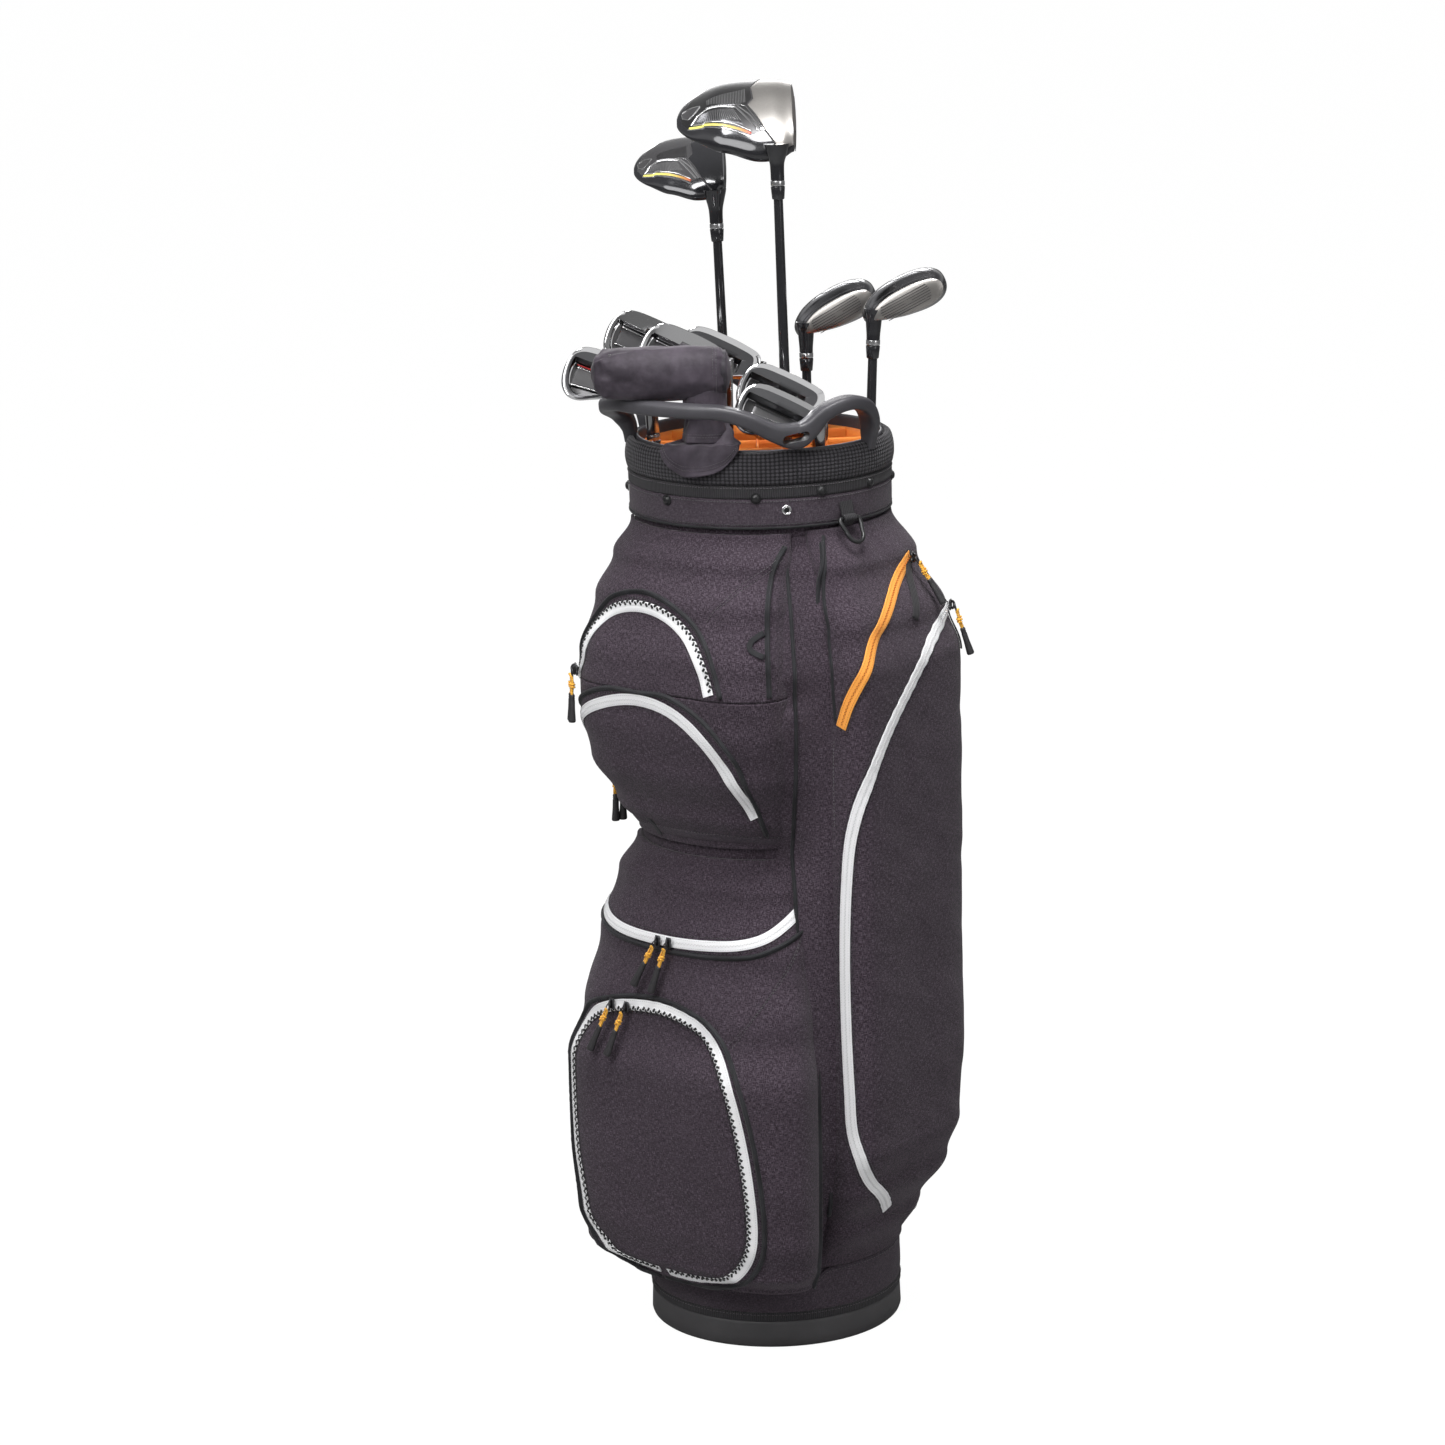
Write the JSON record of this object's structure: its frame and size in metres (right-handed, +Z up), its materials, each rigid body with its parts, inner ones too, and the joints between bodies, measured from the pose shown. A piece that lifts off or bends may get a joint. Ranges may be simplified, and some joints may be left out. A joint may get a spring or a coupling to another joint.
{
  "type": "golf club set in a cart bag",
  "caption": "Cylindrical cart golf bag with padded collar, moulded handles and zipped pockets, holding a set of woods, hybrids, irons and a covered putter, heads up.",
  "frame": {"origin": "centre of the base's underside, on the ground", "axes": "+Z up along the bag's axis, -Y towards the front pockets, +X towards the large side pocket"},
  "size_m": [0.3742, 0.3197, 1.2375],
  "materials": {
    "body_fabric": "woven, heathered",
    "mesh": "padded spacer mesh",
    "lining": "plain woven",
    "moulding": "satin moulded",
    "snaps": "black snaps",
    "zip_white": "zip tape",
    "zip_orange": "zip tape",
    "black_plastic": "satin",
    "webbing": "ribbed webbing",
    "pull_cord": "cord with moulded end",
    "driver_metal": "brushed face, black crown",
    "black_metal": "gloss",
    "hybrid_metal": "brushed face, black back",
    "iron_chrome": "polished",
    "putter_metal": "satin",
    "graphite": "gloss",
    "steel_shaft": "polished",
    "grip_rubber": "patterned rubber",
    "cover_fabric": "soft nylon"
  },
  "bodies": {
    "bag": {"base_cup": "moulding", "base_band": "body_fabric", "bag_shell": "body_fabric", "club_dividers": "lining", "cuff_frame": "moulding", "mesh_collar": "mesh", "cuff_band": "body_fabric", "snap_studs": "snaps", "front_handle": "moulding", "rear_handle": "moulding", "upper_pocket": "body_fabric", "middle_pocket": "body_fabric", "ball_pocket": "body_fabric", "side_pocket_right": "body_fabric", "side_pocket_left": "body_fabric", "white_zips": "zip_white", "orange_zip": "zip_orange", "zip_sliders": "black_plastic", "ring_loop": "webbing"},
    "strap_ring": {"strap_ring": "black_plastic"},
    "upper_pulls": {"upper_pulls": "pull_cord"},
    "middle_pulls": {"middle_pulls": "pull_cord"},
    "ball_top_pulls": {"ball_top_pulls": "pull_cord"},
    "ball_door_pulls": {"ball_door_pulls": "pull_cord"},
    "orange_pull": {"orange_pull": "pull_cord"},
    "side_pull": {"side_pull": "pull_cord"},
    "driver": {"driver_head": "driver_metal", "driver_shaft": "graphite", "driver_grip": "grip_rubber"},
    "fairway": {"fairway_head": "black_metal", "fairway_shaft": "graphite", "fairway_grip": "grip_rubber"},
    "hybrid4": {"hybrid4_head": "hybrid_metal", "hybrid4_shaft": "graphite", "hybrid4_grip": "grip_rubber"},
    "hybrid5": {"hybrid5_head": "hybrid_metal", "hybrid5_shaft": "graphite", "hybrid5_grip": "grip_rubber"},
    "iron6": {"iron6_head": "iron_chrome", "iron6_shaft": "steel_shaft", "iron6_grip": "grip_rubber"},
    "iron7": {"iron7_head": "iron_chrome", "iron7_shaft": "steel_shaft", "iron7_grip": "grip_rubber"},
    "iron8": {"iron8_head": "iron_chrome", "iron8_shaft": "steel_shaft", "iron8_grip": "grip_rubber"},
    "iron9": {"iron9_head": "iron_chrome", "iron9_shaft": "steel_shaft", "iron9_grip": "grip_rubber"},
    "pitching_wedge": {"pitching_wedge_head": "iron_chrome", "pitching_wedge_shaft": "steel_shaft", "pitching_wedge_grip": "grip_rubber"},
    "sand_wedge": {"sand_wedge_head": "iron_chrome", "sand_wedge_shaft": "steel_shaft", "sand_wedge_grip": "grip_rubber"},
    "putter": {"putter_head": "putter_metal", "putter_shaft": "steel_shaft", "putter_grip": "grip_rubber", "putter_cover": "cover_fabric"}
  },
  "joints": [
    {"name": "upper_pulls_swing", "type": "hinge", "parent": "bag", "child": "upper_pulls", "pos_m": [-0.11313, -0.15997, 0.681], "axis": [-0.7273, 0.6863, 0], "range_deg": [0, 70]},
    {"name": "middle_pulls_swing", "type": "hinge", "parent": "bag", "child": "middle_pulls", "pos_m": [-0.11374, -0.09155, 0.566], "axis": [0.2717, 0.9624, 0], "range_deg": [0, 70]},
    {"name": "ball_top_pulls_swing", "type": "hinge", "parent": "bag", "child": "ball_top_pulls", "pos_m": [-0.00698, -0.16406, 0.421], "axis": [-0.9999, 0.0167, 0], "range_deg": [0, 70]},
    {"name": "ball_door_pulls_swing", "type": "hinge", "parent": "bag", "child": "ball_door_pulls", "pos_m": [-0.05672, -0.17443, 0.351], "axis": [-0.9964, 0.0842, 0], "range_deg": [0, 70]},
    {"name": "orange_pull_swing", "type": "hinge", "parent": "bag", "child": "orange_pull", "pos_m": [0.15606, 0.04406, 0.786], "axis": [0.1793, -0.9838, 0], "range_deg": [0, 70]},
    {"name": "side_pull_swing", "type": "hinge", "parent": "bag", "child": "side_pull", "pos_m": [0.17448, 0.08135, 0.735], "axis": [0.4206, -0.9072, 0], "range_deg": [0, 70]},
    {"name": "strap_ring_swing", "type": "hinge", "parent": "bag", "child": "strap_ring", "pos_m": [0.13066, -0.03017, 0.8347], "axis": [-0.225, -0.9744, 0], "range_deg": [0, 100]},
    {"name": "driver_lift", "type": "slide", "parent": "bag", "child": "driver", "axis": [-0.0138, -0.0107, 0.9998], "range_m": [0, 0.85]},
    {"name": "fairway_lift", "type": "slide", "parent": "bag", "child": "fairway", "axis": [-0.0248, -0.0193, 0.9995], "range_m": [0, 0.68]},
    {"name": "hybrid4_lift", "type": "slide", "parent": "bag", "child": "hybrid4", "axis": [0.0344, 0.0269, 0.999], "range_m": [0, 0.54]},
    {"name": "hybrid5_lift", "type": "slide", "parent": "bag", "child": "hybrid5", "axis": [0, 0, 1], "range_m": [0, 0.18]},
    {"name": "iron6_lift", "type": "slide", "parent": "bag", "child": "iron6", "axis": [0, 0, 1], "range_m": [0, 0.2]},
    {"name": "iron7_lift", "type": "slide", "parent": "bag", "child": "iron7", "axis": [0, 0, 1], "range_m": [0, 0.85]},
    {"name": "iron8_lift", "type": "slide", "parent": "bag", "child": "iron8", "axis": [0, 0, 1], "range_m": [0, 0.18]},
    {"name": "iron9_lift", "type": "slide", "parent": "bag", "child": "iron9", "axis": [-0.055, -0.0429, 0.9976], "range_m": [0, 0.78]},
    {"name": "pitching_wedge_lift", "type": "slide", "parent": "bag", "child": "pitching_wedge", "axis": [0, 0, 1], "range_m": [0, 0.85]},
    {"name": "sand_wedge_lift", "type": "slide", "parent": "bag", "child": "sand_wedge", "axis": [0, 0, 1], "range_m": [0, 0.52]},
    {"name": "putter_lift", "type": "slide", "parent": "bag", "child": "putter", "axis": [0, 0, 1], "range_m": [0, 0.85]}
  ]
}
